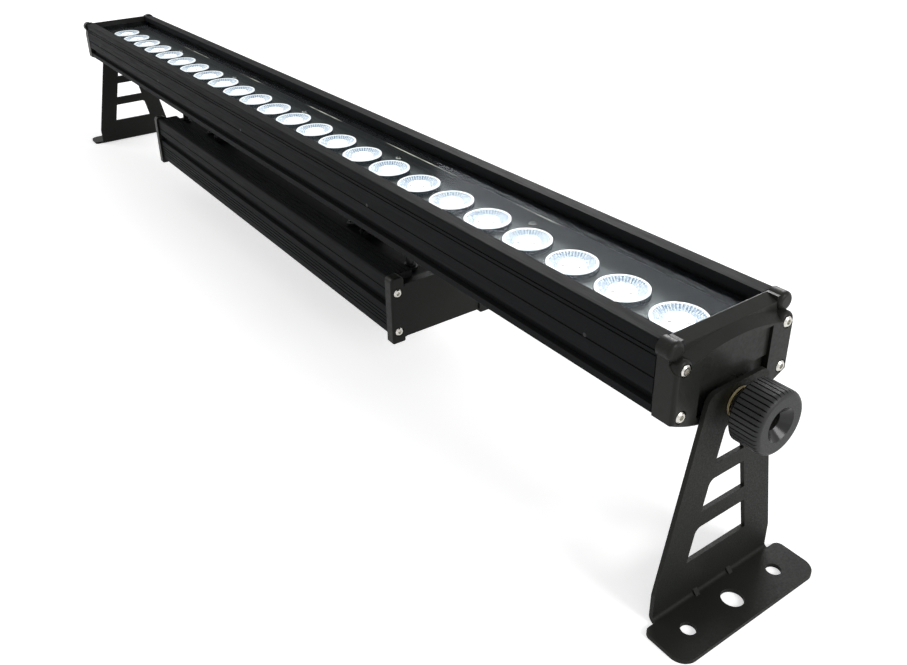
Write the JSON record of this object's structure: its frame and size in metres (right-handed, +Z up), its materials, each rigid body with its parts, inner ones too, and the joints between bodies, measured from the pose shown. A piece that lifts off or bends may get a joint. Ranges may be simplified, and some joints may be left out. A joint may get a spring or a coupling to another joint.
{
  "type": "outdoor wall washer light",
  "caption": "Long black lamp bar with a row of round lenses, tilting on two sheet brackets with clamp knobs, driver box slung below.",
  "frame": {"origin": "on the floor under the middle of the bar, midway between the two brackets", "axes": "+X along the bar to its right end, -Y to the side with the link cables, +Z up; the light shines up"},
  "size_m": [1.0592, 0.11, 0.1668],
  "materials": {
    "housing_black": "black satin anodised extrusion",
    "cast_black": "semi-gloss black coated casting",
    "bracket_black": "fine black powder coat on sheet steel",
    "clear_glass": "clear toughened",
    "seal_black": "matt silicone",
    "plate_black": "dark matt painted",
    "lens_clear": "clear moulded acrylic",
    "board_white": "white solder mask",
    "emitter_yellow": "phosphor",
    "plastic_black": "moulded nylon",
    "knob_black": "satin moulded",
    "stainless": "stainless",
    "pin_black": "black oxide on steel",
    "brass": "turned",
    "friction_grey": "pressed fibre",
    "module_case": "potted plastic case",
    "circuit_green": "solder mask",
    "cable_black": "smooth jacket"
  },
  "bodies": {
    "bracket_left": {"bracket_left": "bracket_black"},
    "head": {"control_board": "circuit_green", "cover_glass": "clear_glass", "driver_cap_left": "cast_black", "driver_cap_right": "cast_black", "driver_cap_screws_left": "stainless", "driver_cap_screws_right": "stainless", "driver_gasket_left": "seal_black", "driver_gasket_right": "seal_black", "driver_glands": "plastic_black", "driver_housing": "housing_black", "emitters": "emitter_yellow", "friction_ring_left": "friction_grey", "friction_ring_right": "friction_grey", "glass_seal_front": "seal_black", "glass_seal_rear": "seal_black", "hanger_bolts": "stainless", "hanger_left": "housing_black", "hanger_nuts": "stainless", "hanger_right": "housing_black", "head_cap_left": "cast_black", "head_cap_right": "cast_black", "head_cap_screws_left": "stainless", "head_cap_screws_right": "stainless", "head_gasket_left": "seal_black", "head_gasket_right": "seal_black", "head_glands": "plastic_black", "head_housing": "housing_black", "inlet_glands": "plastic_black", "led_board_left": "board_white", "led_board_right": "board_white", "lens_holders": "plastic_black", "lens_plate": "plate_black", "lenses": "lens_clear", "link_cable_left": "cable_black", "link_cable_right": "cable_black", "pivot_insert_left": "stainless", "pivot_insert_right": "stainless", "plate_screws": "stainless", "plate_standoffs": "stainless", "power_supply": "module_case", "side_pins": "pin_black"},
    "bracket_right": {"bracket_right": "bracket_black"},
    "washer_left": {"brass_washer_left": "brass"},
    "knob_left": {"knob_left": "knob_black", "knob_bolt_left": "stainless"},
    "washer_right": {"brass_washer_right": "brass"},
    "knob_right": {"knob_right": "knob_black", "knob_bolt_right": "stainless"}
  },
  "joints": [
    {"name": "head_tilt", "type": "hinge", "parent": "bracket_left", "child": "head", "pos_m": [-0.49935, 0, 0.1225], "axis": [1, 0, 0], "range_deg": [-90, 90]},
    {"name": "bracket_right_tilt", "type": "hinge", "parent": "head", "child": "bracket_right", "pos_m": [0.49935, 0, 0.1225], "axis": [1, 0, 0], "range_deg": [-90, 90]},
    {"name": "washer_left_shift", "type": "slide", "parent": "head", "child": "washer_left", "axis": [-1, 0, 0], "range_m": [0, 0.0026]},
    {"name": "knob_left_turn", "type": "hinge", "parent": "washer_left", "child": "knob_left", "pos_m": [-0.51375, 0, 0.1225], "axis": [-1, 0, 0], "range_deg": [0, 720]},
    {"name": "washer_right_shift", "type": "slide", "parent": "head", "child": "washer_right", "axis": [1, 0, 0], "range_m": [0, 0.0026]},
    {"name": "knob_right_turn", "type": "hinge", "parent": "washer_right", "child": "knob_right", "pos_m": [0.51375, 0, 0.1225], "axis": [1, 0, 0], "range_deg": [0, 720]}
  ],
  "couplings": [
    {"joint": "bracket_right_tilt", "follows": "head_tilt", "ratio": -1},
    {"joint": "washer_left_shift", "follows": "knob_left_turn", "m_per_rad": 0.00019894},
    {"joint": "washer_right_shift", "follows": "knob_right_turn", "m_per_rad": 0.00019894}
  ]
}
